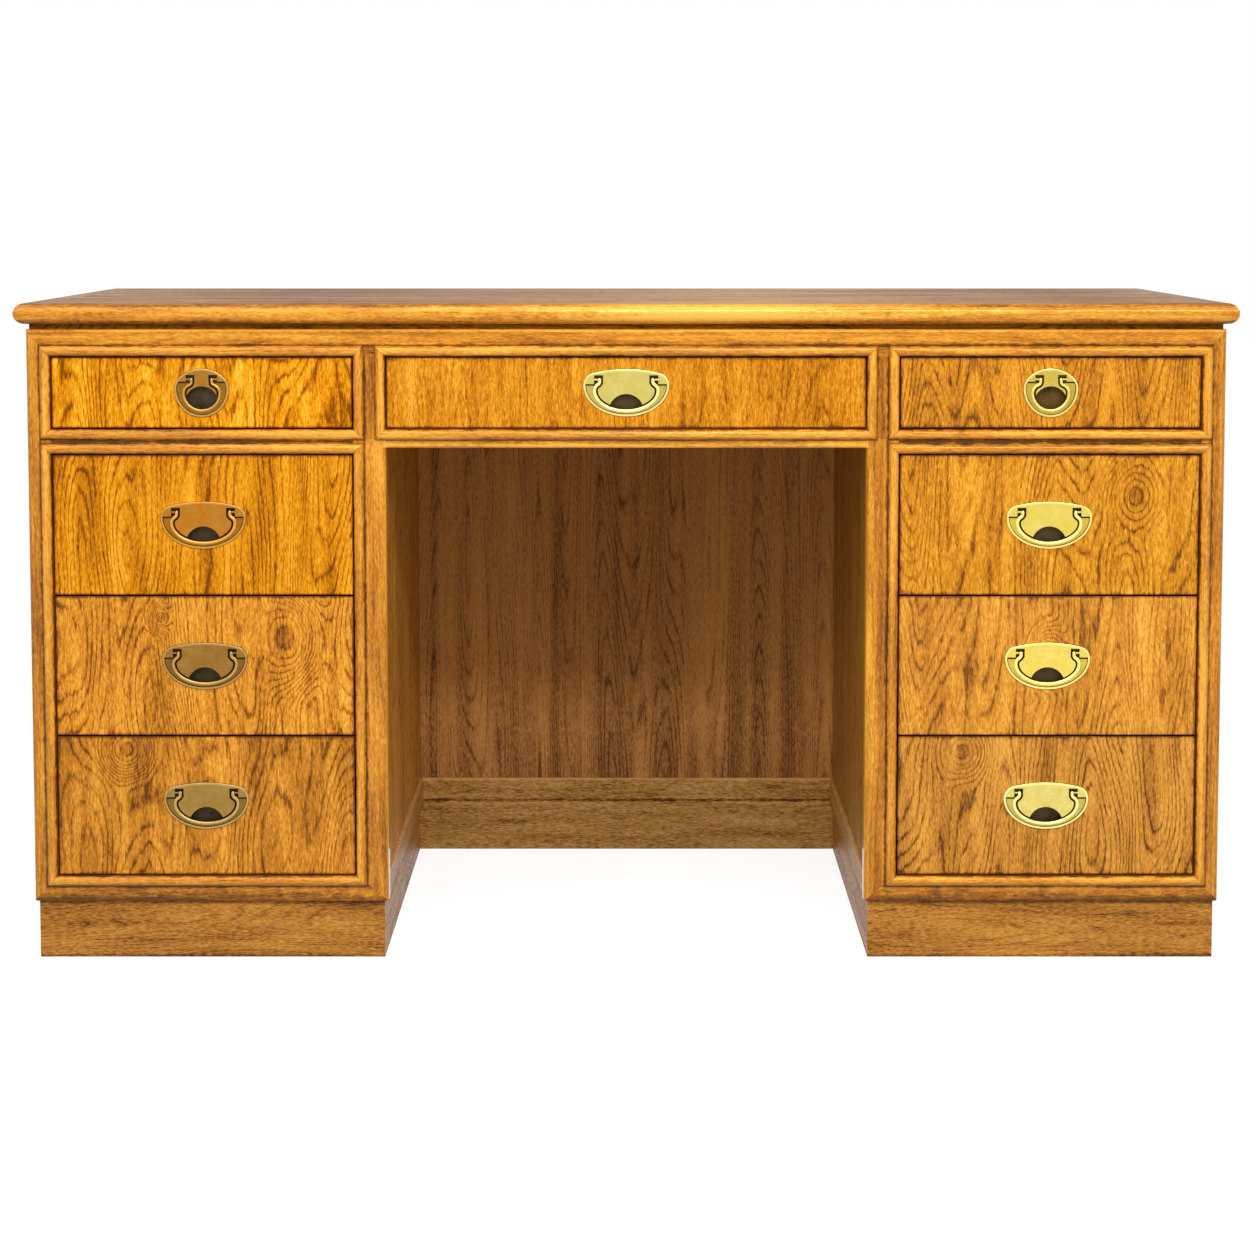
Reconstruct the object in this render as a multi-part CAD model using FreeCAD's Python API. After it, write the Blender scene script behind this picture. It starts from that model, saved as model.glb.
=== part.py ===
"""Oak double-pedestal desk: kneehole case, drawers on wooden runners, brass flush pulls.

Millimetres, +Z up, the front faces -Y. The origin is on the floor under the middle of the top.
"""
import FreeCAD, Part
import math
import os

# Heights of the case, stacked from the floor up
PLINTH_HEIGHT = 67.5
BOTTOM_RAIL_FLAT = 17.5
DEEP_FRONT_HEIGHT = 161.5
MID_RAIL_GROOVE = 3.5
SHALLOW_FRONT_HEIGHT = 80.5
TOP_RAIL_FLAT = 18.5
NECK_HEIGHT = 6.0
TOP_THICKNESS = 24.0
APRON_FLAT = 9.5

# Widths across the front, and the depth
BANK_FRONT_WIDTH = 343.5
KNEEHOLE_WIDTH = 552.0
OUTER_STILE_FLAT = 15.5
INNER_STILE_FLAT = 12.0
BEAD_WIDTH = 12.5
CASE_DEPTH = 579.0
SIDE_OVERHANG = 11.0
FRONT_OVERHANG = 13.0
BACK_OVERHANG = 8.0

# Board thicknesses and set-backs
FRAME_THICKNESS = 22.0
SIDE_THICKNESS = 16.0
BACK_THICKNESS = 12.0
PANEL_RECESS = 4.0
BASE_RAIL_THICKNESS = 4.0
PLINTH_THICKNESS = 15.0
PLINTH_SETBACK = 5.0
FLOOR_THICKNESS = 12.0
DUST_PANEL_THICKNESS = 6.0
LIPPING_WIDTH = 34.0
NECK_WIDTH = 45.0
NECK_SETBACK = 4.0
ARRIS_RADIUS = 6.0
RAIL_ROUND = 3.0

# Drawers: gaps round the fronts, box boards, runners
DRAWER_GAP = 1.5
STACK_GAP = 2.0
FRONT_THICKNESS = 20.0
FRONT_EDGE_ROUND = 1.0
BOX_BACK_ROOM = 53.0
BOX_INSET = 2.5
BOX_RISE = 4.0
BOX_DROP = 10.0
BOX_SIDE_THICKNESS = 14.0
BOX_BACK_THICKNESS = 12.0
BOX_BOTTOM_THICKNESS = 5.0
BOX_BOTTOM_RISE = 8.0
BOX_BOTTOM_GROOVE = 4.0
RUNNER_HEIGHT = 16.0
RUNNER_GROOVE_DEPTH = 7.0
RUNNER_CLEARANCE = 0.3
RUNNER_STOP_LENGTH = 14.0
RUNNER_STOP_REACH = 5.0

# Pulls: depths are measured from the face of the drawer front into the wood
PLATE_PROUD = 1.5
PLATE_FLOOR = 1.3
PLATE_CLEARANCE = 0.2
PLATE_RIM_WIDTH = 2.6
PLATE_RIM_HEIGHT = 0.5
PLATE_EDGE_ROUND = 1.0
BAIL_AXIS_DEPTH = 0.8
BAIL_CLEARANCE = 0.4
BAIL_FIELD_GAP = 1.5
BAIL_RIM_GAP = 0.8
BAIL_LEDGE_GAP = 2.0
WEB_DEPTH = -0.6
WEB_THICKNESS = 1.6
PIN_RADIUS = 1.5
PIN_CLEARANCE = 0.05
PIN_SEAT = 3.5
PIN_END_CLEARANCE = 0.4
HOOK_REACH = 6.3
HOOK_ROOM = 5.2
POCKET_DEPTH = 9.5
CUP_WALL = 1.5


class LargePull:
    """The wide pull of the deep drawers and the centre drawer; heights run from its widest line."""
    plate_half_width = 49.3
    plate_rise = 18.3
    plate_drop = 36.4
    plate_corner_radius = 14.0
    bail_radius = 2.5
    bail_side_inset = 12.8
    bail_bottom_inset = 6.4
    bail_widest_drop = 6.5
    bail_shoulder_radius = 7.5
    bail_hook_radius = 4.5
    bail_arm_inset = 6.0
    pivot_rise = 5.9
    ledge_drop = 4.9
    pocket_half_width = 18.8
    pocket_shoulder = 7.0
    pocket_height = 19.6


class SmallPull:
    """The narrow pull of the two shallow pedestal drawers; heights run from its widest line."""
    plate_half_width = 31.4
    plate_rise = 23.1
    plate_drop = 33.1
    plate_corner_radius = 17.0
    bail_radius = 2.2
    bail_side_inset = 10.6
    bail_bottom_inset = 7.5
    bail_widest_drop = 5.5
    bail_shoulder_radius = 10.0
    bail_hook_radius = 4.0
    bail_arm_inset = 9.1
    pivot_rise = 10.3
    ledge_drop = 2.4
    pocket_half_width = 18.0
    pocket_shoulder = 15.2
    pocket_height = 28.1


# The deep drawers of a pedestal from the lowest up
DEEP_NAMES = ("lower", "middle", "upper")
SIDES = (("left", -1), ("right", 1))

# Frame members: the flat that shows, and what the beads cover
OUTER_STILE_WIDTH = OUTER_STILE_FLAT + BEAD_WIDTH
INNER_STILE_WIDTH = INNER_STILE_FLAT + 2 * BEAD_WIDTH
BOTTOM_RAIL_HEIGHT = BOTTOM_RAIL_FLAT + BEAD_WIDTH
MID_RAIL_HEIGHT = MID_RAIL_GROOVE + 2 * BEAD_WIDTH
TOP_RAIL_HEIGHT = TOP_RAIL_FLAT + BEAD_WIDTH
APRON_HEIGHT = APRON_FLAT + BEAD_WIDTH

# Distances from the middle plane of the desk to each upright face
BANK_OPENING = BANK_FRONT_WIDTH + 2 * DRAWER_GAP
KNEE_EDGE = KNEEHOLE_WIDTH / 2
BANK_INNER_EDGE = KNEE_EDGE + INNER_STILE_WIDTH
BANK_OUTER_EDGE = BANK_INNER_EDGE + BANK_OPENING
CASE_EDGE = BANK_OUTER_EDGE + OUTER_STILE_WIDTH
BANK_MIDDLE = (BANK_INNER_EDGE + BANK_OUTER_EDGE) / 2
KNEE_FACE = KNEE_EDGE + PANEL_RECESS
INNER_SIDE_FACE = KNEE_FACE + SIDE_THICKNESS
OUTER_PANEL_FACE = CASE_EDGE - PANEL_RECESS
OUTER_SIDE_FACE = OUTER_PANEL_FACE - SIDE_THICKNESS

# Depths, front to back
TOP_DEPTH = FRONT_OVERHANG + CASE_DEPTH + BACK_OVERHANG
FRONT_Y = FRONT_OVERHANG - TOP_DEPTH / 2
BACK_Y = FRONT_Y + CASE_DEPTH
FRAME_BACK_Y = FRONT_Y + FRAME_THICKNESS
BACK_STILE_Y = BACK_Y - FRAME_THICKNESS
BACK_PANEL_Y = BACK_Y - PANEL_RECESS
BACK_INSIDE_Y = BACK_PANEL_Y - BACK_THICKNESS
SHELF_BACK_Y = min(BACK_STILE_Y, BACK_INSIDE_Y)
BOX_FRONT_Y = FRONT_Y + FRONT_THICKNESS
BOX_BACK_Y = BACK_INSIDE_Y - BOX_BACK_ROOM
RUNNER_FRONT_Y = max(FRAME_BACK_Y, BOX_FRONT_Y + RUNNER_CLEARANCE)
MODESTY_RAIL_Y = BACK_INSIDE_Y - BASE_RAIL_THICKNESS

# Levels, floor to top
BASE_Z = PLINTH_HEIGHT
BANK_Z = BASE_Z + BOTTOM_RAIL_HEIGHT
DEEP_COUNT = len(DEEP_NAMES)
BANK_OPENING_HEIGHT = DEEP_COUNT * DEEP_FRONT_HEIGHT + (DEEP_COUNT - 1) * STACK_GAP + 2 * DRAWER_GAP
MID_RAIL_Z = BANK_Z + BANK_OPENING_HEIGHT
SHALLOW_Z = MID_RAIL_Z + MID_RAIL_HEIGHT
APRON_Z = SHALLOW_Z - APRON_HEIGHT
TOP_RAIL_Z = SHALLOW_Z + SHALLOW_FRONT_HEIGHT + 2 * DRAWER_GAP
NECK_Z = TOP_RAIL_Z + TOP_RAIL_HEIGHT
TOP_Z = NECK_Z + NECK_HEIGHT


def vector(x, y, z):
    return FreeCAD.Vector(x, y, z)


def board(x_range, y_range, z_range):
    """A straight board between two X, two Y and two Z values, given in any order."""
    low = [min(pair) for pair in (x_range, y_range, z_range)]
    high = [max(pair) for pair in (x_range, y_range, z_range)]
    return Part.makeBox(high[0] - low[0], high[1] - low[1], high[2] - low[2], vector(*low))


def mirrored_span(sign, near, far):
    """The X range between two distances from the middle plane, on one side of it."""
    return (sign * near, sign * far)


def front_prism(points, y_low, y_high):
    """A flat piece of the face frame from its outline in X and Z."""
    corners = [vector(x, y_low, z) for x, z in points]
    face = Part.Face(Part.makePolygon(corners + corners[:1]))
    return face.extrude(vector(0, y_high - y_low, 0))


def arris_cut(x_edge, inward, y_face, backward, z_range):
    """The wood taken off an upright corner to round it; inward and backward are +1 or -1."""
    centre = vector(x_edge + inward * ARRIS_RADIUS, y_face + backward * ARRIS_RADIUS, z_range[0])
    square = board((x_edge, centre.x), (y_face, centre.y), z_range)
    return square.cut(Part.makeCylinder(ARRIS_RADIUS, z_range[1] - z_range[0], centre))


def rail_cut(x_range, z_edge, inward):
    """The wood taken off a rail's front edge to round it; inward is -1 at the top edge, +1 at the bottom one."""
    centre = vector(x_range[0], FRONT_Y + RAIL_ROUND, z_edge + inward * RAIL_ROUND)
    square = board(x_range, (FRONT_Y, centre.y), (z_edge, centre.z))
    return square.cut(Part.makeCylinder(RAIL_ROUND, x_range[1] - x_range[0], centre, vector(1, 0, 0)))


def section_face(edges):
    """A moulding's cross-section: outwards is -Y from the ring's inner edge, height is +Z."""
    return Part.Face(Part.Wire(edges))


def section_point(outward, height):
    return vector(0, -outward, height)


def rectangle_section(width, height):
    corners = [(0, 0), (width, 0), (width, height), (0, height), (0, 0)]
    return Part.Face(Part.makePolygon([section_point(*corner) for corner in corners]))


def half_round_section(width):
    flat = Part.makeLine(section_point(0, 0), section_point(width, 0))
    crown = section_point(width / 2, width / 2)
    arc = Part.Arc(section_point(width, 0), crown, section_point(0, 0)).toShape()
    return section_face([flat, arc])


def nosing_section(width, height):
    """A strip whose outer edge is a full half-round."""
    radius = height / 2
    lower = section_point(width - radius, 0)
    upper = section_point(width - radius, height)
    nose = Part.Arc(lower, section_point(width, radius), upper).toShape()
    under = Part.makeLine(section_point(0, 0), lower)
    over = Part.makeLine(upper, section_point(0, height))
    joint = Part.makeLine(section_point(0, height), section_point(0, 0))
    return section_face([under, nose, over, joint])


def mitred_ring(section, width, depth):
    """Four mitred strips round a flat rectangle centred on the origin, lying in X and Y."""
    reach = section.BoundBox.YLength
    low = section.BoundBox.ZMin
    high = section.BoundBox.ZMax
    strips = []
    for turn in range(4):
        length, across = (width, depth) if turn % 2 == 0 else (depth, width)
        start = vector(-length / 2 - reach, -across / 2, 0)
        bar = section.translated(start).extrude(vector(length + 2 * reach, 0, 0))
        inner_left = vector(-length / 2, -across / 2, low)
        inner_right = vector(length / 2, -across / 2, low)
        outer_right = inner_right + vector(reach, -reach, 0)
        outer_left = inner_left + vector(-reach, -reach, 0)
        outline = Part.makePolygon([inner_left, inner_right, outer_right, outer_left, inner_left])
        mitre = Part.Face(outline).extrude(vector(0, 0, high - low))
        strips.append(bar.common(mitre).Solids[0].rotated(vector(0, 0, 0), vector(0, 0, 1), 90 * turn))
    return strips


def upright_ring(section, x_range, z_range):
    """A mitred ring stood up on the face of the frame, round an opening."""
    strips = mitred_ring(section, x_range[1] - x_range[0], z_range[1] - z_range[0])
    middle = vector(sum(x_range) / 2, FRONT_Y, sum(z_range) / 2)
    return [strip.rotated(vector(0, 0, 0), vector(1, 0, 0), 90).translated(middle) for strip in strips]


def make_top(nodes):
    width = 2 * (CASE_EDGE + SIDE_OVERHANG - LIPPING_WIDTH)
    depth = TOP_DEPTH - 2 * LIPPING_WIDTH
    level = vector(0, 0, TOP_Z)
    panel_level = (TOP_Z, TOP_Z + TOP_THICKNESS)
    nodes["top_panel"] = [board((-width / 2, width / 2), (-depth / 2, depth / 2), panel_level)]
    nosing = mitred_ring(nosing_section(LIPPING_WIDTH, TOP_THICKNESS), width, depth)
    nodes["top_edge_moulding"] = [strip.translated(level) for strip in nosing]

    neck_width = 2 * (CASE_EDGE - NECK_SETBACK - NECK_WIDTH)
    neck_depth = CASE_DEPTH - 2 * (NECK_SETBACK + NECK_WIDTH)
    neck = mitred_ring(rectangle_section(NECK_WIDTH, NECK_HEIGHT), neck_width, neck_depth)
    seat = vector(0, (FRONT_Y + BACK_Y) / 2, NECK_Z)
    nodes["sub_top_moulding"] = [strip.translated(seat) for strip in neck]


def make_face_frame(nodes):
    """Mitred stiles and rails across the front, and the two corner stiles at the back."""
    front = (FRONT_Y, FRAME_BACK_Y)
    back = (BACK_STILE_Y, BACK_Y)
    height = (BASE_Z, NECK_Z)
    front_stiles = []
    back_stiles = []
    rails = []
    top_outline = [(-CASE_EDGE, NECK_Z), (CASE_EDGE, NECK_Z), (BANK_OUTER_EDGE, TOP_RAIL_Z),
                   (-BANK_OUTER_EDGE, TOP_RAIL_Z)]
    top_rail = front_prism(top_outline, *front).cut(rail_cut((-CASE_EDGE, CASE_EDGE), NECK_Z, -1))
    for _, sign in SIDES:
        outer_round = arris_cut(sign * CASE_EDGE, -sign, FRONT_Y, 1, height)
        outer = [(sign * CASE_EDGE, BASE_Z), (sign * BANK_OUTER_EDGE, BANK_Z),
                 (sign * BANK_OUTER_EDGE, TOP_RAIL_Z), (sign * CASE_EDGE, NECK_Z)]
        front_stiles.append(front_prism(outer, *front).cut(outer_round))
        top_rail = top_rail.cut(outer_round)

        knee_round = arris_cut(sign * KNEE_EDGE, sign, FRONT_Y, 1, (BASE_Z, APRON_Z))
        inner = [(sign * KNEE_EDGE, BASE_Z), (sign * BANK_INNER_EDGE, BANK_Z),
                 (sign * BANK_INNER_EDGE, TOP_RAIL_Z), (sign * KNEE_EDGE, TOP_RAIL_Z)]
        front_stiles.append(front_prism(inner, *front).cut(knee_round))

        bottom = [(sign * CASE_EDGE, BASE_Z), (sign * KNEE_EDGE, BASE_Z),
                  (sign * BANK_INNER_EDGE, BANK_Z), (sign * BANK_OUTER_EDGE, BANK_Z)]
        rails.append(front_prism(bottom, *front).cut(outer_round).cut(knee_round))
        bank = mirrored_span(sign, BANK_INNER_EDGE, BANK_OUTER_EDGE)
        rails.append(board(bank, front, (MID_RAIL_Z, SHALLOW_Z)))

        corner = board(mirrored_span(sign, BANK_OUTER_EDGE, CASE_EDGE), back, height)
        back_stiles.append(corner.cut(arris_cut(sign * CASE_EDGE, -sign, BACK_Y, -1, height)))
    nodes["front_stiles"] = front_stiles
    nodes["back_stiles"] = back_stiles
    nodes["top_rail"] = [top_rail]
    nodes["pedestal_rails"] = rails
    apron_span = (-KNEE_EDGE, KNEE_EDGE)
    apron = board(apron_span, front, (APRON_Z, SHALLOW_Z))
    nodes["apron_rail"] = [apron.cut(rail_cut(apron_span, APRON_Z, 1))]


def make_beads(nodes):
    """Half-round cock beads, mitred round each drawer opening on the face of the frame."""
    bead = half_round_section(BEAD_WIDTH)
    for side, sign in SIDES:
        opening = sorted(mirrored_span(sign, BANK_INNER_EDGE, BANK_OUTER_EDGE))
        shallow = upright_ring(bead, opening, (SHALLOW_Z, TOP_RAIL_Z))
        bank = upright_ring(bead, opening, (BANK_Z, MID_RAIL_Z))
        nodes[side + "_beads"] = shallow + bank
    nodes["centre_bead"] = upright_ring(bead, (-KNEE_EDGE, KNEE_EDGE), (SHALLOW_Z, TOP_RAIL_Z))


def make_case_boards(nodes):
    """Sides, backs, floors and dust panels, set back from the frame, with the base rails on them."""
    height = (BASE_Z, NECK_Z)
    base = (BASE_Z, BANK_Z)
    inside = (FRAME_BACK_Y, SHELF_BACK_Y)
    backs = []
    floors = []
    dust_panels = []
    base_rails = []
    for side, sign in SIDES:
        outer = mirrored_span(sign, OUTER_SIDE_FACE, OUTER_PANEL_FACE)
        inner = mirrored_span(sign, KNEE_FACE, INNER_SIDE_FACE)
        hollow = mirrored_span(sign, INNER_SIDE_FACE, OUTER_SIDE_FACE)
        nodes[side + "_outer_side"] = [board(outer, (FRAME_BACK_Y, BACK_STILE_Y), height)]
        nodes[side + "_inner_side"] = [board(inner, (FRAME_BACK_Y, BACK_PANEL_Y), height)]
        back_span = mirrored_span(sign, INNER_SIDE_FACE, BANK_OUTER_EDGE)
        backs.append(board(back_span, (BACK_INSIDE_Y, BACK_PANEL_Y), height))
        floors.append(board(hollow, inside, (BASE_Z, BASE_Z + FLOOR_THICKNESS)))
        dust_middle = (MID_RAIL_Z + SHALLOW_Z) / 2
        dust_level = (dust_middle - DUST_PANEL_THICKNESS / 2, dust_middle + DUST_PANEL_THICKNESS / 2)
        dust_panels.append(board(hollow, inside, dust_level))

        outer_strip = mirrored_span(sign, OUTER_PANEL_FACE, OUTER_PANEL_FACE + BASE_RAIL_THICKNESS)
        base_rails.append(board(outer_strip, (FRAME_BACK_Y, BACK_STILE_Y), base))
        knee_strip = mirrored_span(sign, KNEE_FACE - BASE_RAIL_THICKNESS, KNEE_FACE)
        base_rails.append(board(knee_strip, (FRAME_BACK_Y, BACK_INSIDE_Y), base))
    knee_clear = KNEE_FACE - BASE_RAIL_THICKNESS
    base_rails.append(board((-knee_clear, knee_clear), (MODESTY_RAIL_Y, BACK_INSIDE_Y), base))
    back_strip = (BACK_PANEL_Y, BACK_PANEL_Y + BASE_RAIL_THICKNESS)
    base_rails.append(board((-BANK_OUTER_EDGE, BANK_OUTER_EDGE), back_strip, base))
    nodes["modesty_panel"] = [board((-KNEE_FACE, KNEE_FACE), (BACK_INSIDE_Y, BACK_PANEL_Y), height)]
    nodes["pedestal_backs"] = backs
    nodes["pedestal_floors"] = floors
    nodes["dust_panels"] = dust_panels
    nodes["base_rails"] = base_rails


def make_plinths(nodes):
    """A mitred box of boards under each pedestal, and one board under the kneehole's back."""
    low = KNEE_EDGE + PLINTH_SETBACK
    high = CASE_EDGE - PLINTH_SETBACK
    width = high - low - 2 * PLINTH_THICKNESS
    depth = CASE_DEPTH - 2 * (PLINTH_SETBACK + PLINTH_THICKNESS)
    section = rectangle_section(PLINTH_THICKNESS, PLINTH_HEIGHT)
    for side, sign in SIDES:
        middle = vector(sign * (low + high) / 2, (FRONT_Y + BACK_Y) / 2, 0)
        nodes[side + "_plinth"] = [strip.translated(middle) for strip in mitred_ring(section, width, depth)]
    back = BACK_Y - PLINTH_SETBACK
    nodes["modesty_plinth"] = [board((-low, low), (back - PLINTH_THICKNESS, back), (0, PLINTH_HEIGHT))]


class Drawer:
    """Where one drawer sits: its name, the middle of its front, its sizes and its pull."""

    def __init__(self, name, middle, width, low, height, pull, left_wall, right_wall):
        self.name = name
        self.middle = middle
        self.width = width
        self.low = low
        self.high = low + height
        self.pull = pull
        self.left_wall = left_wall
        self.right_wall = right_wall
        self.box_left = middle - width / 2 + BOX_INSET
        self.box_right = middle + width / 2 - BOX_INSET
        self.box_low = low + BOX_RISE
        self.box_high = self.high - BOX_DROP
        self.runner_middle = (self.box_low + self.box_high) / 2


def list_drawers():
    shallow_low = SHALLOW_Z + DRAWER_GAP
    centre_width = KNEEHOLE_WIDTH - 2 * DRAWER_GAP
    drawers = [Drawer("centre", 0, centre_width, shallow_low, SHALLOW_FRONT_HEIGHT, LargePull,
                      -KNEE_FACE, KNEE_FACE)]
    for side, sign in SIDES:
        walls = sorted(mirrored_span(sign, INNER_SIDE_FACE, OUTER_SIDE_FACE))
        middle = sign * BANK_MIDDLE
        drawers.append(Drawer(side + "_top", middle, BANK_FRONT_WIDTH, shallow_low, SHALLOW_FRONT_HEIGHT,
                              SmallPull, *walls))
        for place, level in enumerate(DEEP_NAMES):
            low = BANK_Z + DRAWER_GAP + place * (DEEP_FRONT_HEIGHT + STACK_GAP)
            drawers.append(Drawer(side + "_" + level, middle, BANK_FRONT_WIDTH, low, DEEP_FRONT_HEIGHT,
                                  LargePull, *walls))
    return drawers


def make_runners(drawer):
    """Two side-hung runners; each has a stop block behind the end of the drawer side."""
    level = (drawer.runner_middle - RUNNER_HEIGHT / 2, drawer.runner_middle + RUNNER_HEIGHT / 2)
    stop_front = BOX_BACK_Y + RUNNER_CLEARANCE
    stop = (stop_front, stop_front + RUNNER_STOP_LENGTH)
    runners = []
    for wall, face, inward in ((drawer.left_wall, drawer.box_left, 1),
                               (drawer.right_wall, drawer.box_right, -1)):
        tip = face + inward * (RUNNER_GROOVE_DEPTH - RUNNER_CLEARANCE)
        rail = board((wall, tip), (RUNNER_FRONT_Y, stop[1]), level)
        block = board((wall, tip + inward * RUNNER_STOP_REACH), stop, level)
        runners.append(rail.fuse(block).removeSplitter().Solids[0])
    return runners


def make_box(drawer):
    """Two grooved sides, a back and a bottom let into the sides and the front."""
    length = (BOX_FRONT_Y, BOX_BACK_Y)
    height = (drawer.box_low, drawer.box_high)
    inner_left = drawer.box_left + BOX_SIDE_THICKNESS
    inner_right = drawer.box_right - BOX_SIDE_THICKNESS
    bottom_low = drawer.box_low + BOX_BOTTOM_RISE
    bottom_high = bottom_low + BOX_BOTTOM_THICKNESS
    bottom = board((inner_left - BOX_BOTTOM_GROOVE, inner_right + BOX_BOTTOM_GROOVE),
                   (BOX_FRONT_Y - BOX_BOTTOM_GROOVE, BOX_BACK_Y), (bottom_low, bottom_high))
    groove_half = RUNNER_HEIGHT / 2 + RUNNER_CLEARANCE
    groove_level = (drawer.runner_middle - groove_half, drawer.runner_middle + groove_half)
    solids = []
    for face, inward in ((drawer.box_left, 1), (drawer.box_right, -1)):
        side = board((face, face + inward * BOX_SIDE_THICKNESS), length, height)
        groove = board((face, face + inward * RUNNER_GROOVE_DEPTH), length, groove_level)
        solids.append(side.cut(groove).cut(bottom))
    back_depth = (BOX_BACK_Y - BOX_BACK_THICKNESS, BOX_BACK_Y)
    back = board((inner_left, inner_right), back_depth, (bottom_high, drawer.box_high))
    return solids + [back, bottom]


def mirror_point(point):
    return vector(-point.x, point.y, point.z)


def arc_edge(start, middle, end):
    return Part.Arc(start, middle, end).toShape()


def side_arc(centre, radius, start, end):
    """The short arc between two points on a circle in the X and Z plane."""
    middle = ((start - centre) + (end - centre)).normalize() * radius
    return arc_edge(start, centre + middle, end)


def hanging_curve(half, drop):
    """The lower half of an ellipse, from its right end down to the foot and up to its left end."""
    middle = vector(0, 0, 0)
    if half >= drop:
        ellipse = Part.Ellipse(vector(half, 0, 0), vector(0, 0, -drop), middle)
        return Part.ArcOfEllipse(ellipse, 0, math.pi).toShape()
    ellipse = Part.Ellipse(vector(0, 0, -drop), vector(-half, 0, 0), middle)
    return Part.ArcOfEllipse(ellipse, -math.pi / 2, math.pi / 2).toShape()


def plate_face(pull, grow):
    """The outline of a pull's plate, grown outwards by a margin; its widest line is at height 0."""
    half = pull.plate_half_width + grow
    rise = pull.plate_rise + grow
    radius = pull.plate_corner_radius + grow
    offset = half - radius
    crown_radius = (offset ** 2 + rise ** 2 - radius ** 2) / (2 * (rise - radius))
    towards_meeting = vector(offset, 0, crown_radius - rise).normalize()
    meeting = vector(offset, 0, 0) + towards_meeting * radius
    corner = side_arc(vector(offset, 0, 0), radius, vector(half, 0, 0), meeting)
    crown = arc_edge(meeting, vector(0, 0, rise), mirror_point(meeting))
    other_corner = corner.mirror(vector(0, 0, 0), vector(1, 0, 0))
    edges = [corner, crown, other_corner, hanging_curve(half, pull.plate_drop + grow)]
    return Part.Face(Part.Wire(Part.__sortEdges__(edges)))


def bail_half_width(pull):
    return pull.plate_half_width - pull.bail_side_inset


def bail_arm_offset(pull):
    return bail_half_width(pull) - pull.bail_arm_inset


def bail_track(pull, shift):
    """The edges of the bail's centre line, moved sideways by shift (outwards is positive)."""
    half = bail_half_width(pull)
    drop = pull.plate_drop - pull.bail_bottom_inset - pull.bail_widest_drop
    shoulder = pull.bail_shoulder_radius
    hook = pull.bail_hook_radius
    reach = shoulder + hook
    turn = math.acos(1 - pull.bail_arm_inset / reach)
    radial = vector(math.cos(turn), 0, math.sin(turn))
    widest = vector(half + shift, 0, 0)
    shoulder_centre = vector(half - shoulder, 0, 0)
    change = shoulder_centre + radial * (shoulder + shift)
    hook_centre = shoulder_centre + radial * reach
    arm_low = hook_centre + vector(shift - hook, 0, 0)
    arm_high = vector(arm_low.x, 0, pull.pivot_rise + pull.bail_widest_drop)

    edges = [hanging_curve(half + shift, drop + shift)]
    for edge in (side_arc(shoulder_centre, shoulder + shift, widest, change),
                 side_arc(hook_centre, hook - shift, change, arm_low),
                 Part.makeLine(arm_low, arm_high)):
        edges.append(edge)
        edges.append(edge.mirror(vector(0, 0, 0), vector(1, 0, 0)))
    level = vector(0, 0, -pull.bail_widest_drop)
    return [edge.translated(level) for edge in Part.__sortEdges__(edges)]


def track_ends(edges):
    """The two free ends of a sorted run of edges."""
    return edges[0].firstVertex(True).Point, edges[-1].lastVertex(True).Point


def field_face(pull, shift):
    """All that the bail encloses, out to its centre line moved sideways by shift."""
    edge = bail_track(pull, shift)
    start, end = track_ends(edge)
    return Part.Face(Part.Wire(edge + [Part.makeLine(end, start)]))


def crescent(pull, depths, rim_gap, ledge_gap, field_shift):
    """The space inside the plate's rim and below its ledge, less these gaps, outside the bail's shifted line."""
    outline = deepen(plate_face(pull, -PLATE_RIM_WIDTH - rim_gap), *depths)
    ledge = pull.pivot_rise - pull.ledge_drop - ledge_gap
    below = board((-pull.plate_half_width, pull.plate_half_width), depths, (-pull.plate_drop, ledge))
    return outline.common(below).cut(deepen(field_face(pull, field_shift), *depths))


def channel_face(pull):
    """The slot in the plate that the bail's rod lies in."""
    inner = bail_track(pull, -(pull.bail_radius + BAIL_FIELD_GAP))
    outer = bail_track(pull, pull.bail_radius + BAIL_CLEARANCE)
    inner_ends = sorted(track_ends(inner), key=lambda point: point.x)
    outer_ends = sorted(track_ends(outer), key=lambda point: point.x)
    caps = [Part.makeLine(inner_ends[i], outer_ends[i]) for i in range(2)]
    return Part.Face(Part.Wire(Part.__sortEdges__(inner + outer + caps)))


def pocket_face(pull, grow):
    """The finger pocket's mouth: an arc above and an arc below, under the bail's foot."""
    base = pull.bail_bottom_inset - pull.plate_drop
    right = vector(pull.pocket_half_width + grow, 0, base + pull.pocket_shoulder)
    top = vector(0, 0, base + pull.pocket_height + grow)
    bottom = vector(0, 0, base - grow)
    edges = [arc_edge(right, top, mirror_point(right)), arc_edge(mirror_point(right), bottom, right)]
    return Part.Face(Part.Wire(edges))


def deepen(face, start, end):
    """A flat outline pushed from one depth to another, measured into the wood."""
    return face.translated(vector(0, start, 0)).extrude(vector(0, end - start, 0))


def edges_at_depth(shape, depth):
    """The edges of a shape that lie in one upright plane."""
    plane = 1e-6
    return [edge for edge in shape.Edges
            if edge.BoundBox.YLength < plane and abs(edge.CenterOfMass.y - depth) < plane]


def bail_floor_depth(pull):
    return BAIL_AXIS_DEPTH + pull.bail_radius + BAIL_CLEARANCE


def plate_back_depth(pull):
    return bail_floor_depth(pull) + PLATE_FLOOR


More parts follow.
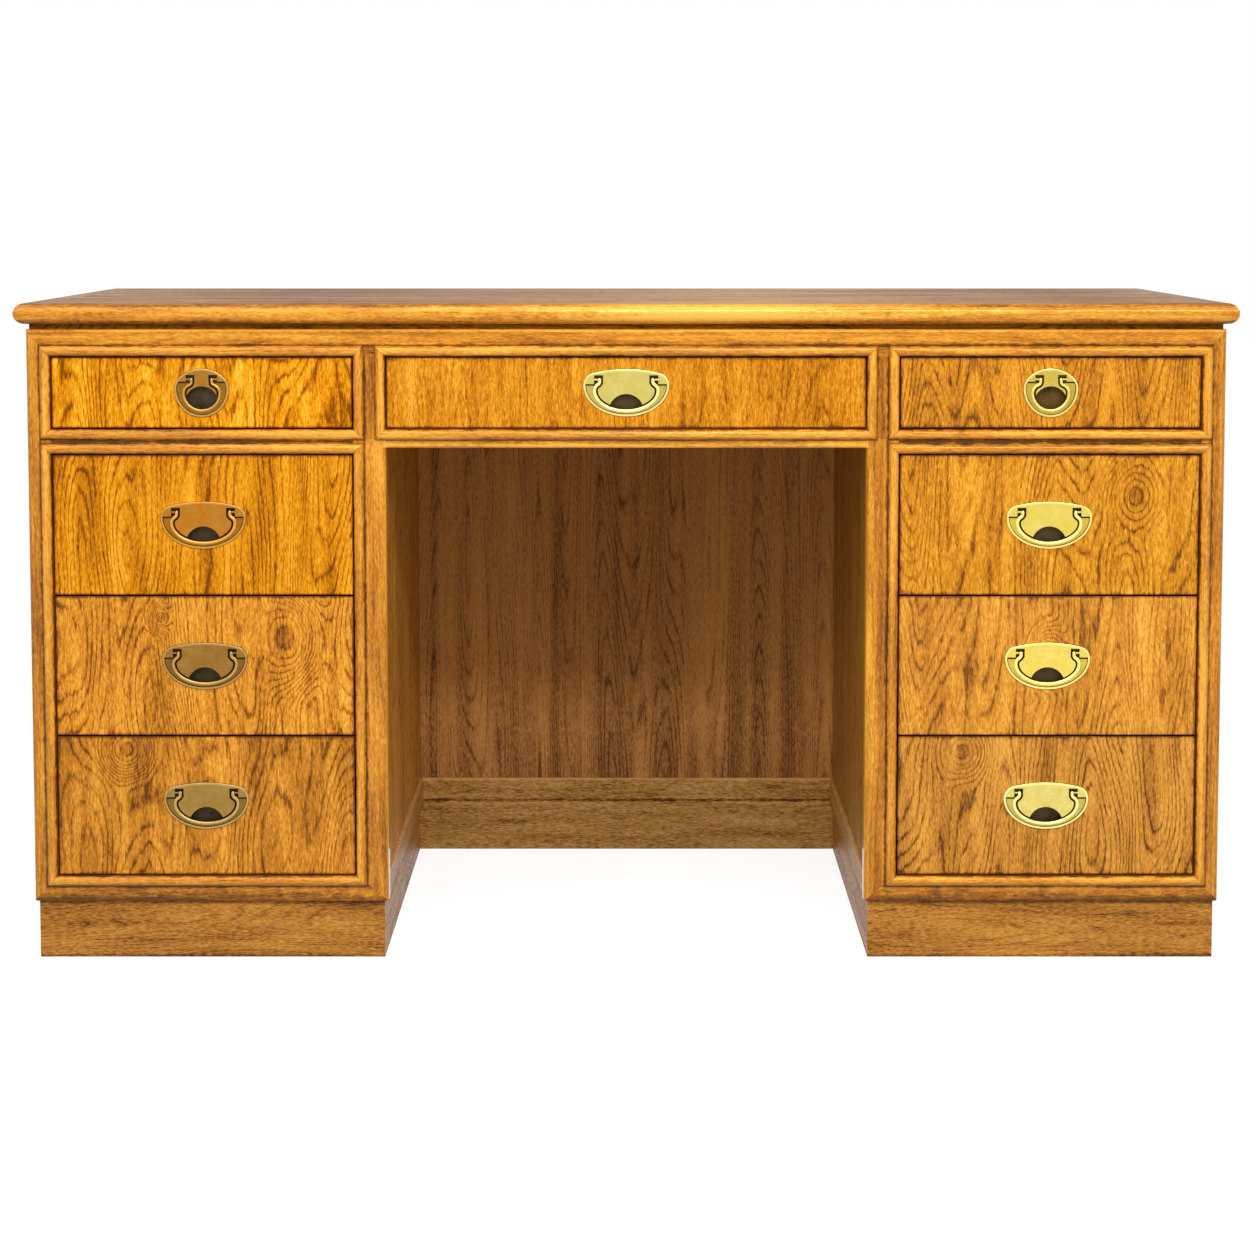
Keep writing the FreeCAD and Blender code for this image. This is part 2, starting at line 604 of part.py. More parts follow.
def make_plate(pull):
    """The cast plate with its rim, bail channel, hook recesses, pin holes and finger cup."""
    face_depth = -PLATE_PROUD
    back_depth = plate_back_depth(pull)
    slab = deepen(plate_face(pull, 0), face_depth, back_depth)
    plate = slab.makeFillet(PLATE_EDGE_ROUND, edges_at_depth(slab, face_depth))
    plate = plate.fuse(deepen(pocket_face(pull, CUP_WALL), 0, POCKET_DEPTH + CUP_WALL))

    sunk = deepen(plate_face(pull, -PLATE_RIM_WIDTH), face_depth, face_depth + PLATE_RIM_HEIGHT)
    web_floor = WEB_DEPTH + WEB_THICKNESS + BAIL_CLEARANCE
    web_room = crescent(pull, (face_depth, web_floor), 0, 0, pull.bail_radius)
    floor = bail_floor_depth(pull)
    channel = deepen(channel_face(pull), face_depth, floor)
    pocket = deepen(pocket_face(pull, 0), face_depth, POCKET_DEPTH)
    plate = plate.cut([sunk, web_room, channel, pocket])

    room = pull.bail_radius + BAIL_FIELD_GAP
    wall = bail_arm_offset(pull) + HOOK_REACH
    ledge = pull.pivot_rise - pull.ledge_drop
    for sign in (-1, 1):
        recess = board(mirrored_span(sign, bail_arm_offset(pull) - room, wall), (face_depth, floor),
                       (ledge, pull.pivot_rise + HOOK_ROOM))
        hole_start = vector(sign * bail_arm_offset(pull), BAIL_AXIS_DEPTH, pull.pivot_rise)
        hole_radius = PIN_RADIUS + PIN_CLEARANCE
        hole = Part.makeCylinder(hole_radius, HOOK_REACH + PIN_SEAT, hole_start, vector(sign, 0, 0))
        plate = plate.cut([recess, hole])
    return plate.removeSplitter().Solids[0]


def make_bail(pull):
    """The swinging handle: a bent rod with a pin at each end, and a thin crescent outside the rod."""
    track = bail_track(pull, 0)
    start = track_ends(track)[0]
    ring = Part.Wire(Part.makeCircle(pull.bail_radius, start, vector(0, 0, 1)))
    rod = Part.Wire(track).makePipeShell([ring], True, False)
    bail = Part.Solid(rod) if rod.ShapeType != "Solid" else rod
    web_depths = (WEB_DEPTH - BAIL_AXIS_DEPTH, WEB_DEPTH + WEB_THICKNESS - BAIL_AXIS_DEPTH)
    bail = bail.fuse(crescent(pull, web_depths, BAIL_RIM_GAP, BAIL_LEDGE_GAP, 0))
    for sign in (-1, 1):
        knuckle = vector(sign * bail_arm_offset(pull), 0, pull.pivot_rise)
        pin_length = HOOK_REACH + PIN_SEAT - PIN_END_CLEARANCE
        bail = bail.fuse(Part.makeSphere(pull.bail_radius, knuckle))
        bail = bail.fuse(Part.makeCylinder(PIN_RADIUS, pin_length, knuckle, vector(sign, 0, 0)))
    return bail.translated(vector(0, BAIL_AXIS_DEPTH, 0)).Solids[0]


def make_front(drawer, seat):
    """The drawer front with eased edges, let in for the pull's plate and cup, grooved for the bottom."""
    pull = drawer.pull
    blank = board((drawer.middle - drawer.width / 2, drawer.middle + drawer.width / 2),
                  (FRONT_Y, BOX_FRONT_Y), (drawer.low, drawer.high))
    front = blank.makeFillet(FRONT_EDGE_ROUND, edges_at_depth(blank, FRONT_Y))
    plate_room = deepen(plate_face(pull, PLATE_CLEARANCE), 0, plate_back_depth(pull))
    cup_depth = POCKET_DEPTH + CUP_WALL + PLATE_CLEARANCE
    cup_room = deepen(pocket_face(pull, CUP_WALL + PLATE_CLEARANCE), 0, cup_depth)
    return front.cut([plate_room.translated(seat), cup_room.translated(seat)])


def make_drawer(nodes, drawer, plates, bails):
    pull = drawer.pull
    plate_middle = (pull.plate_rise - pull.plate_drop) / 2
    seat = vector(drawer.middle, FRONT_Y, (drawer.low + drawer.high) / 2 - plate_middle)
    box = make_box(drawer)
    bottom = box[-1]
    nodes[drawer.name + "_front"] = [make_front(drawer, seat).cut(bottom).Solids[0]]
    nodes[drawer.name + "_box"] = box
    nodes[drawer.name + "_pull_plate"] = [plates[pull].translated(seat)]
    nodes[drawer.name + "_bail"] = [bails[pull].translated(seat)]


def main():
    nodes = {}
    make_top(nodes)
    make_face_frame(nodes)
    make_beads(nodes)
    make_case_boards(nodes)
    make_plinths(nodes)
    drawers = list_drawers()
    plates = {pull: make_plate(pull) for pull in (LargePull, SmallPull)}
    bails = {pull: make_bail(pull) for pull in (LargePull, SmallPull)}
    nodes["drawer_runners"] = [runner for drawer in drawers for runner in make_runners(drawer)]
    for drawer in drawers:
        make_drawer(nodes, drawer, plates, bails)

    os.makedirs("parts", exist_ok=True)
    for name, solids in nodes.items():
        shape = solids[0] if len(solids) == 1 else Part.makeCompound(solids)
        shape.exportStep(os.path.join("parts", name + ".step"))
    print(len(nodes), "nodes")


main()
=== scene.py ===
import math
import bpy
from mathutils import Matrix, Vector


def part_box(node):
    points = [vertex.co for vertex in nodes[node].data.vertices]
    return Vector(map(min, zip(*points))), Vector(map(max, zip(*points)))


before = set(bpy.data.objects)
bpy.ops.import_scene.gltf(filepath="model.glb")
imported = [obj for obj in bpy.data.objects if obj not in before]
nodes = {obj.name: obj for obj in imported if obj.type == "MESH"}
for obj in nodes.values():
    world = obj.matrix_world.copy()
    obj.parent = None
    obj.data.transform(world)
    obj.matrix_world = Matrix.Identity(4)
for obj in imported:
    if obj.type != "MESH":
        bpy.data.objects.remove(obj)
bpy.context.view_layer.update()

MM = 0.001

# A Mix node keeps the sockets of every kind of data in one list. These are its vectors and its colours.
VECTOR_A, VECTOR_B, VECTOR_OUT = 4, 5, 1
COLOUR_A, COLOUR_B, COLOUR_OUT = 6, 7, 2


def linear(colour):
    """A colour written as an sRGB hex value, as the linear light that a shader takes."""
    parts = [int(colour[i:i + 2], 16) / 255 for i in (1, 3, 5)]
    return [p / 12.92 if p <= 0.04045 else ((p + 0.055) / 1.055) ** 2.4 for p in parts] + [1.0]


def fill(tree, node, inputs):
    """Gives a node's inputs their values, or links the sockets that are given for them."""
    for key, value in inputs.items():
        if isinstance(value, bpy.types.NodeSocket):
            tree.links.new(value, node.inputs[key])
        else:
            node.inputs[key].default_value = value


def add(tree, kind, inputs=None, out=0, stops=None, **settings):
    """Adds one node with its settings, inputs and any colour stops, and gives back one of its outputs."""
    node = tree.nodes.new("ShaderNode" + kind)
    for name, value in settings.items():
        setattr(node, name, value)
    fill(tree, node, inputs or {})
    if stops:
        ends = node.color_ramp.elements
        ends[0].position, ends[0].color = stops[0][0], linear(stops[0][1])
        ends[-1].position, ends[-1].color = stops[-1][0], linear(stops[-1][1])
        for place, colour in stops[1:-1]:
            ends.new(place).color = linear(colour)
    return node.outputs[out]


def new_material(name):
    """A new material, its node tree and the shader in it."""
    material = bpy.data.materials.new(name)
    material.use_nodes = True
    return material, material.node_tree, material.node_tree.nodes["Principled BSDF"]


# Oak, sawn along the grain, stained golden and rubbed with an amber lacquer. The eye sees tall pointed arches and
# straight lines of dark growth rings, short dark pores and pale flecks along the grain, and pale edges, partly
# worn and partly painted highlights.
TURN_TO_GRAIN = {"z": (0, 0, 0), "x": (0, math.pi / 2, 0), "y": (math.pi / 2, 0, 0)}
AMBER = "#FFC773"
PALE = "#FFF3E2"
CREAM = "#FFE6C0"
OAK_IOR = 1.5
# one growth ring: pale early wood, then the dark late wood that ends it
RING_STOPS = [(0.0, "#A0A0A0"), (0.12, "#404040"), (0.45, "#000000"), (0.7, "#606060"), (0.89, "#FFFFFF"),
              (1.0, "#A0A0A0")]
# where the four tones of a board stand between pale and dark, and a board's usual darkness
TONE_PLACES = (0.0, 0.35, 0.7, 1.0)
USUAL_DARKNESS = 0.36
# widths and lengths of streaks in mm; real pores are 0.3 mm wide, and these are drawn wider so that they show
PORE_SIZE = (1.1, 9)
FLECK_SIZE = (1.5, 7)
WAVER_SIZE = (5, 40)
FADING_SIZE = (10, 80)
# bands of stain, as shares of the width and length of the figure
STAIN_SHARE = (0.3, 0.45)
# values of a noise between which pores deepen, ring lines grow strong and marks widen
PORE_CUT = (0.55, 0.78)
FADING_CUT = (0.34, 0.62)
SMUDGE_CUT = (0.3, 0.7)
# the least strength of a ring line, and the darkness of pores between the lines and what a line adds to it
FAINTEST_LINE = 0.25
PORES_BETWEEN = 0.55
PORES_ON_LINE = 0.6
# in shares of a knot's size: where the board's own rings begin and are full, and where the dark core does
KNOT_OWN = (0.2, 1.1)
KNOT_CORE = (0.26, 0.08)
KNOT_DARKNESS = 0.25
# the dark line of a mitred joint, its half width in mm
MITRE_LINE = 0.7
MITRE_DARKNESS = 0.45
# a mark's edge is broken by smudges of this size in mm, between these shares of its width
SMUDGE_SIZE = 14
MARK_WIDTHS = (0.4, 1.6)
# patches whose chance is over this have a dent, of these radii in shares of the patch
DENT_CHANCE = 0.5
DENT_SIZES = (0.001, 0.07)
# a face looks to the side where the X of its normal is over this, and more and more up between these values of Z
SIDEWAYS = 0.5
UPWARD = (0.75, 0.95)
# pale wood is a little smoother than the board's roughness, dark wood and faces that look up are rougher
PALE_SMOOTHER = 0.06
DARK_ROUGHER = 0.16
CROWN_ROUGHER = 0.35
RELIEF_STRENGTH = 0.2
RELIEF_DEPTH = 0.4


def beyond(tree, spot, middle, half):
    """How far in metres a spot on one axis lies outside a span with this middle and half size in mm."""
    off = add(tree, "Math", {0: spot, 1: middle * MM}, operation="SUBTRACT")
    off = add(tree, "Math", {0: off}, operation="ABSOLUTE")
    return add(tree, "Math", {0: off, 1: half * MM}, operation="SUBTRACT")


def streaks(tree, board, wide, long, **settings):
    """A noise about 0.5 of streaks along the grain, this wide and long in mm."""
    scale = (1 / (wide * MM), 1 / (wide * MM), 1 / (long * MM))
    stretched = add(tree, "Mapping", {"Vector": board, "Scale": scale})
    return add(tree, "TexNoise", {"Vector": stretched, "Scale": 1.0, **settings})


def lay_grain(tree, place, sides, along, turned, mitre, shift):
    """The board's coordinates with the grain along Z, and the dark line of a mitre as a layer."""
    board = add(tree, "Mapping", {"Vector": place, "Location": shift, "Rotation": TURN_TO_GRAIN[along]})
    if not turned:
        return board, []
    layers = []
    if mitre:
        reaches = []
        for axis, spans in mitre:
            spot = add(tree, "Math", {0: sides[axis]}, operation="ABSOLUTE")
            reach = beyond(tree, spot, *spans[0])
            for span in spans[1:]:
                reach = add(tree, "Math", {0: reach, 1: beyond(tree, spot, *span)}, operation="MINIMUM")
            reaches.append(reach)
        lead = add(tree, "Math", {0: reaches[0], 1: reaches[1]}, operation="SUBTRACT")
        joint = add(tree, "Math", {0: lead}, operation="ABSOLUTE")
        joint = add(tree, "MapRange", {"Value": joint, "From Max": MITRE_LINE * MM, "To Min": 1, "To Max": 0})
        layers.append((joint, MITRE_DARKNESS))
    else:
        facing = add(tree, "SeparateXYZ", {0: add(tree, "NewGeometry", out="Normal")}, out="X")
        facing = add(tree, "Math", {0: facing}, operation="ABSOLUTE")
        lead = add(tree, "Math", {0: facing, 1: SIDEWAYS}, operation="SUBTRACT")
    swap = add(tree, "Math", {0: lead, 1: 0.0}, operation="GREATER_THAN")
    other = add(tree, "Mapping", {"Vector": place, "Location": shift, "Rotation": TURN_TO_GRAIN[turned]})
    board = add(tree, "Mix", {0: swap, VECTOR_A: board, VECTOR_B: other}, out=VECTOR_OUT, data_type="VECTOR")
    return board, layers


def grow_rings(tree, place, board, figure, straight, waver, knots):
    """The dark lines of the growth rings, and the cores of the knots as layers."""
    wide, long, rings = figure
    across = add(tree, "SeparateXYZ", {0: board}, out="X")
    ring = add(tree, "Math", {0: across, 1: straight}, operation="MULTIPLY")
    waves = streaks(tree, board, wide, long, Detail=1.0, Roughness=0.35)
    ring = add(tree, "Math", {0: waves, 1: rings, 2: ring}, operation="MULTIPLY_ADD")
    layers = []
    settled = 0.0
    smooth = {"interpolation_type": "SMOOTHSTEP"}
    for x, z, knot_wide, knot_tall, knot_rings in knots:
        from_knot = add(tree, "Mapping", {"Vector": place, "Location": (-x / knot_wide, 0, -z / knot_tall),
                                          "Scale": (1 / (knot_wide * MM), 0, 1 / (knot_tall * MM))})
        reach = add(tree, "VectorMath", {0: from_knot}, out="Value", operation="LENGTH")
        bulge = add(tree, "MapRange", {"Value": reach, "From Min": 1, "From Max": 0, "To Max": knot_rings},
                    **smooth)
        # near the knot the board's own rings give way to the knot's
        own = add(tree, "MapRange", {"Value": reach, "From Min": KNOT_OWN[0], "From Max": KNOT_OWN[1]}, **smooth)
        centre = straight * x * MM + 0.5 * rings
        ring = add(tree, "Math", {0: ring, 1: centre - settled}, operation="SUBTRACT")
        settled = centre
        ring = add(tree, "Math", {0: ring, 1: own, 2: bulge}, operation="MULTIPLY_ADD")
        core = add(tree, "MapRange", {"Value": reach, "From Min": KNOT_CORE[0], "From Max": KNOT_CORE[1]},
                   **smooth)
        layers.append((core, KNOT_DARKNESS))
    wavy = streaks(tree, board, *WAVER_SIZE, Detail=2.0, Roughness=0.6)
    ring = add(tree, "Math", {0: wavy, 1: waver, 2: ring}, operation="MULTIPLY_ADD")
    part = add(tree, "Math", {0: ring}, operation="FRACT")
    late = add(tree, "ValToRGB", {"Fac": part}, stops=RING_STOPS)
    # each ring line comes and goes along its length
    fading = streaks(tree, board, *FADING_SIZE, Detail=2.0)
    strong = add(tree, "MapRange", {"Value": fading, "From Min": FADING_CUT[0], "From Max": FADING_CUT[1],
                                    "To Min": FAINTEST_LINE})
    return add(tree, "Math", {0: late, 1: strong}, operation="MULTIPLY"), layers


def wear_and_painted_light(tree, place, sides, marks, specks):
    """Layers of dirt and painted shade along joints, of rubbing and painted highlights on edges, and of small
    dents.
    """
    layers = []
    smudge = add(tree, "TexNoise", {"Vector": place, "Scale": 1 / (SMUDGE_SIZE * MM), "Detail": 3.0,
                                    "Roughness": 0.6})
    for axis, middle, half, width, darkness, *levels in marks:
        off = beyond(tree, sides[axis], middle, half)
        off = add(tree, "Math", {0: off}, operation="ABSOLUTE")
        narrowest, widest = (share * width * MM for share in MARK_WIDTHS)
        broken = add(tree, "MapRange", {"Value": smudge, "From Min": SMUDGE_CUT[0], "From Max": SMUDGE_CUT[1],
                                        "To Min": narrowest, "To Max": widest})
        mask = add(tree, "MapRange", {"Value": off, "From Max": broken, "To Min": 1, "To Max": 0})
        if levels:
            bottom, top = levels
            outside = beyond(tree, sides["Z"], 0.5 * (bottom + top), 0.5 * (top - bottom))
            inside = add(tree, "Math", {0: outside, 1: 0.0}, operation="LESS_THAN")
            mask = add(tree, "Math", {0: mask, 1: inside}, operation="MULTIPLY")
        layers.append((mask, darkness))
    for patch_width, darkness in specks:
        # dents are dark with dirt or pale where the finish has chipped, one to a patch, in half of the patches
        patch = add(tree, "TexVoronoi", {"Vector": place, "Scale": 1 / (patch_width * MM)}).node.outputs
        chance = add(tree, "SeparateColor", {0: patch["Color"]})
        dent = add(tree, "MapRange", {"Value": chance, "From Min": DENT_CHANCE,
                                      "To Min": DENT_SIZES[0], "To Max": DENT_SIZES[1]})
        mask = add(tree, "MapRange", {"Value": patch["Distance"], "From Max": dent, "To Min": 1, "To Max": 0})
        layers.append((mask, darkness))
    return layers


def oak(name, tones, along="z", turned=None, mitre=None, shift=(0, 0, 0), figure=(80, 400, 32), straight=36,
        waver=0.75, line=0.62, pore=0.35, fleck=1.7, band=1.0, knots=(), marks=(), specks=(),
        roughness=0.42, gloss=0.25, tint=AMBER, crown=None):
    """tones: four colours from pale to dark. along: the axis of the grain.
    turned: the axis that it takes on faces to the left and right or, with a mitre, on the strips beyond the
    mitre's first span. mitre: two axes, each with the middle and half size in mm of its spans.
    shift: where the board is cut from the log, in metres.
    figure: width and length in mm of the ring pattern's waves, and rings in each. straight: rings to the metre.
    waver: how far the lines tremble, in rings.
    line, pore, fleck, band: how much the ring lines, pores, flecks and bands of stain show.
    knots: x, z, width and height in mm, and rings, below 0 where they count the other way.
    marks: axis, middle, half size, width and darkness of lines of dirt, darker tone and painted shade or, below 0,
    of rubbing and painted highlights, and the lowest and highest point of a mark that doesn't go all the way.
    specks: width in mm of the patches that hold dents, and the dents' darkness.
    gloss, tint: strength and colour of the lacquer's reflection.
    crown: the tones of faces that look up, which are rougher too."""
    material, tree, shader = new_material(name)
    place = add(tree, "TexCoord", out="Object")
    sides = add(tree, "SeparateXYZ", {0: place}).node.outputs
    board, joints = lay_grain(tree, place, sides, along, turned, mitre, shift)
    late, cores = grow_rings(tree, place, board, figure, straight, waver, knots)
    # pores are darkest along the ring lines
    pores = streaks(tree, board, *PORE_SIZE, Detail=1.0)
    pores = add(tree, "MapRange", {"Value": pores, "From Min": PORE_CUT[0], "From Max": PORE_CUT[1]})
    near_line = add(tree, "Math", {0: late, 1: PORES_ON_LINE, 2: PORES_BETWEEN}, operation="MULTIPLY_ADD")
    pores = add(tree, "Math", {0: pores, 1: near_line}, operation="MULTIPLY")
    # short pale and dark flecks, and slow bands of darker and paler stain
    flecks = streaks(tree, board, *FLECK_SIZE, Detail=3.0, Roughness=0.6, Distortion=0.5)
    stain = streaks(tree, board, STAIN_SHARE[0] * figure[0], STAIN_SHARE[1] * figure[1], Detail=4.0, Roughness=0.6)

    layers = joints + cores + [(pores, pore), (flecks, fleck), (stain, band)]
    layers += wear_and_painted_light(tree, place, sides, marks, specks)
    start = USUAL_DARKNESS - 0.5 * fleck - 0.5 * band
    dark = add(tree, "Math", {0: late, 1: line, 2: start}, operation="MULTIPLY_ADD")
    for mask, weight in layers:
        dark = add(tree, "Math", {0: mask, 1: weight, 2: dark}, operation="MULTIPLY_ADD")
    colour = add(tree, "ValToRGB", {"Fac": dark}, stops=list(zip(TONE_PLACES, tones)))
    rough = add(tree, "Math", {0: dark, 1: DARK_ROUGHER, 2: roughness - PALE_SMOOTHER}, operation="MULTIPLY_ADD")
    if crown:
        upward = add(tree, "SeparateXYZ", {0: add(tree, "NewGeometry", out="Normal")}, out="Z")
        upward = add(tree, "MapRange", {"Value": upward, "From Min": UPWARD[0], "From Max": UPWARD[1]})
        worn = add(tree, "ValToRGB", {"Fac": dark}, stops=list(zip(TONE_PLACES, crown)))
        colour = add(tree, "Mix", {0: upward, COLOUR_A: colour, COLOUR_B: worn}, out=COLOUR_OUT,
                     data_type="RGBA")
        rough = add(tree, "Math", {0: upward, 1: CROWN_ROUGHER, 2: rough}, operation="MULTIPLY_ADD")
    relief = add(tree, "Bump", {"Height": dark, "Strength": RELIEF_STRENGTH, "Distance": RELIEF_DEPTH * MM},
                 invert=True)
    fill(tree, shader, {"Base Color": colour, "Roughness": rough, "Normal": relief, "IOR": OAK_IOR,
                        "Specular IOR Level": gloss, "Specular Tint": linear(tint)})
    return material


# The fronts are painted browner from the top row down, and the right bank a little duller than the left, as
# painted shade of light that falls from above at the left.
FRONT_TONES_WITH_PAINTED_SHADE = {
    "left_top": ("#FFCA42", "#F09E12", "#C67406", "#864604"),
    "left_upper": ("#FEB834", "#E59212", "#B66B0C", "#783F09"),
    "left_middle": ("#FFC04A", "#E9982E", "#B36D22", "#6E3E18"),
    "left_lower": ("#FCB142", "#D78B2D", "#A96822", "#6B3E1A"),
    "centre": ("#FBB53A", "#DB8D1C", "#B16810", "#713C0A"),
    "right_top": ("#F9B33B", "#DA8E24", "#A8661C", "#663B16"),
    "right_upper": ("#FBB83E", "#DD9226", "#B06C1A", "#6F3E16"),
    "right_middle": ("#FFBB4C", "#DF9534", "#B8742A", "#7A481E"),
    "right_lower": ("#F2AF4C", "#D48E38", "#A46828", "#5C381C"),
}
FRAME_TONES = ("#FDB63C", "#D88A1A", "#A05C0A", "#542C02")
MOULDING_TONES = ("#FFC04A", "#E4921A", "#A8620A", "#582E02")
CASE_TONES = ("#F2AE50", "#D29036", "#9A6220", "#54320C")
SHADED_TONES = ("#CE9444", "#B27A2C", "#84541A", "#482A0A")
MODESTY_TONES = ("#E2A252", "#D09250", "#A46E3C", "#5E3C20")
TOP_TONES = ("#C08A48", "#A06C30", "#744818", "#44280C")
CROWN_TONES = ("#AC7A3E", "#8E5E2A", "#684014", "#3C240A")
PLINTH_TONES = ("#DCA04A", "#C08036", "#885428", "#442812")
KNEE_TONES = ("#E4B678", "#CA9650", "#926430", "#4A2C10")
NECK_SHADE_TONES = ("#AA6C20", "#905A18", "#6C4010", "#482A08")
BOX_TONES = ("#E6CFA2", "#D9BC88", "#C3A06A", "#9A7747")

KNOTS = {
    "left_middle": [(-394, 376, 60, 84, -6), (-537, 400, 20, 24, 3)],
    "left_lower": [(-578, 246, 44, 50, 7)],
    "right_upper": [(586, 540, 50, 66, 8)],
    "right_middle": [(488, 354, 34, 52, 5)],
    "right_lower": [(389, 243, 44, 50, 7)],
}
ROWS = ("top", "upper", "middle", "lower")
STRONG_FIGURE = ("left_top", "left_upper", "left_lower", "right_lower")
# each front is cut this much further along the log than the one before
NEXT_CUT = (0, 0.11, 0.37)
# each front is darker along its edges, dirt and painted shade of the gaps round it: width in mm and darkness
EDGE_WIDTH = 2.8
EDGE_DIRT_AND_SHADE = 0.55
drawers = [f"{side}_{row}" for side in ("left", "right") for row in ROWS] + ["centre"]
finishes = {}
for number, drawer in enumerate(drawers):
    low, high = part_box(drawer + "_front")
    edges = []
    for axis, i in (("X", 0), ("Z", 2)):
        middle, half = (low[i] + high[i]) / (2 * MM), (high[i] - low[i]) / (2 * MM)
        edges.append((axis, middle, half, EDGE_WIDTH, EDGE_DIRT_AND_SHADE))
    figured = dict(band=1.2)
    if drawer in STRONG_FIGURE:
        figured = dict(line=0.72, band=1.6)
    if drawer == "centre":
        # straighter grain, and a wide darker patch at the right
        figured = dict(figure=(60, 700, 20), straight=50, line=0.3, band=1.2)
        edges.append(("X", 240, 0, 180, 0.1))
    cut = tuple(step * number for step in NEXT_CUT)
    finishes[drawer + "_front"] = oak("golden_oak_" + drawer, FRONT_TONES_WITH_PAINTED_SHADE[drawer], "z", shift=cut,
                                      knots=KNOTS.get(drawer, ()), marks=edges, **figured)

# Frame of the same oak under a glossier lacquer: stiles stand, rails lie, and each strip of a bead or edge runs
# its own way. Where a bead meets the flat it is darker, dirt and painted shade in the crease, and bead crests and
# rounded edges are paler, rubbing and painted highlights.
frame_oak = dict(figure=(40, 500, 16), straight=90, line=0.2, pore=0.22, fleck=1.1, band=1.5,
                 specks=((26, 0.8), (47, -0.9)), roughness=0.12, gloss=0.5, tint=CREAM)
# stiles: dirt and painted shade in the creases beside the beads (672, 300.5), rubbing and painted highlights on
# the  rounded edges (276, 687.5), darker on the flat near the beads (294.5) and a darker tone on the outer stiles
# (680)
stile_marks = [
    ("X", 0, 672, 2.5, 0.6), ("X", 0, 300.5, 2.5, 0.6), ("X", 0, 276, 3, -0.3), ("X", 0, 294.5, 8, 0.1),
    ("X", 0, 294.5, 20, 0.22, 606, 732), ("X", 0, 680, 10, 0.12), ("X", 0, 687.5, 2, -0.3),
]
# top rail: dirt and painted shade in the crease above the beads (713.5), rubbing and a painted highlight on its
# rounded upper edge (731), and darker on the flat near the beads
top_rail_marks = [("Z", 0, 713.5, 2.5, 0.7), ("Z", 0, 731, 3, -0.35), ("X", 0, 294.5, 20, 0.22, 701, 713.5)]
# pedestal rails: dirt and painted shade in the creases and the groove at the beads (85, 603.2), and darker towards
# the bottom by the plinth (67.5)
rail_marks = [("Z", 0, 85, 2.5, 0.7), ("Z", 0, 67.5, 14, 0.6), ("Z", 0, 603.2, 2.5, 0.9)]
# apron: dirt and painted shade in the crease under the bead (605), and paler across its face (599)
apron_marks = [("Z", 0, 605, 1.5, 0.4), ("Z", 0, 599, 4, -0.35)]
# beads: dirt and painted shade darken the flanks where they meet the flat (287), rubbing and a painted highlight
# pale the crest (293.2)
bead_marks = [("Y", 0, 287, 4.2, 0.9), ("Y", 0, 293.2, 1.5, -0.15)]
# top's edge: painted shade darkens the underside (738), dirt the upper edge (759), and a painted highlight pales
# the middle and right (X 120)
edge_marks = [("Z", 0, 738, 6, 0.5), ("Z", 0, 759, 3, 0.25), ("X", 120, 0, 380, -0.45)]
# the openings that the beads go round, and the field inside the top's edge: middle and half size in mm
LEVELS = ("Z", ((659.25, 41.75), (343.25, 245.75)))
BANK_MITRE = (("X", ((486.25, 173.25),)), LEVELS)
CENTRE_MITRE = (("X", ((0, 276),)), LEVELS)
TOP_MITRE = (("X", ((0, 664.5),)), ("Y", ((0, 266),)))
stile = oak("golden_oak_stiles", FRAME_TONES, "z", marks=stile_marks, **frame_oak)
finishes["front_stiles"] = finishes["back_stiles"] = stile
finishes["top_rail"] = oak("golden_oak_top_rail", FRAME_TONES, "x", marks=top_rail_marks, **frame_oak)
finishes["pedestal_rails"] = oak("golden_oak_pedestal_rails", FRAME_TONES, "x", marks=rail_marks, **frame_oak)
finishes["apron_rail"] = oak("golden_oak_apron", FRAME_TONES, "x", marks=apron_marks, **frame_oak)
bank_bead = oak("golden_oak_bank_beads", FRAME_TONES, "x", "z", BANK_MITRE, marks=bead_marks, **frame_oak)
finishes["left_beads"] = finishes["right_beads"] = bank_bead
finishes["centre_bead"] = oak("golden_oak_centre_bead", FRAME_TONES, "x", "z", CENTRE_MITRE,
                              marks=bead_marks, **frame_oak)
finishes["top_edge_moulding"] = oak("golden_oak_moulding", MOULDING_TONES, "x", "y", TOP_MITRE,
                                    marks=edge_marks, crown=CROWN_TONES, **frame_oak)

# Brown oak: the worn top with pale and dark stains, the kneehole and sides, the right side of the kneehole in
# darker tones as painted shade, the scuffed plinths, and the neck under the top, painted dark as the shade under
# the top's edge.
top_marks = [
    ("X", -420, 0, 160, 0.2), ("X", 150, 0, 280, -0.3), ("X", 560, 0, 120, 0.15), ("Y", 0, 290, 70, 0.2),
]
# plinths: darker along their top, under the rail, and along their foot
plinth_marks = [("Z", 0, 67.5, 4, 0.5), ("Z", 0, 0, 5, 0.4)]
# kneehole base: dirt and painted shade at the step where the rail meets the plinth (67.5), and a painted highlight
# on the rail's top edge (96.5)
knee_marks = [("Z", 0, 67.5, 3, 0.6), ("Z", 0, 96.5, 2.5, -0.5)]
PANEL_FIGURE = (80, 600, 40)
PLINTH_FIGURE = (50, 400, 26)
finishes["sub_top_moulding"] = oak("neck_oak_painted_shade", NECK_SHADE_TONES, "x", "y", gloss=0.1)
finishes["top_panel"] = oak("brown_oak_top", TOP_TONES, "x", figure=(90, 600, 40), line=0.5, band=2.0,
                            roughness=0.5, gloss=0.3, tint=PALE, marks=top_marks)
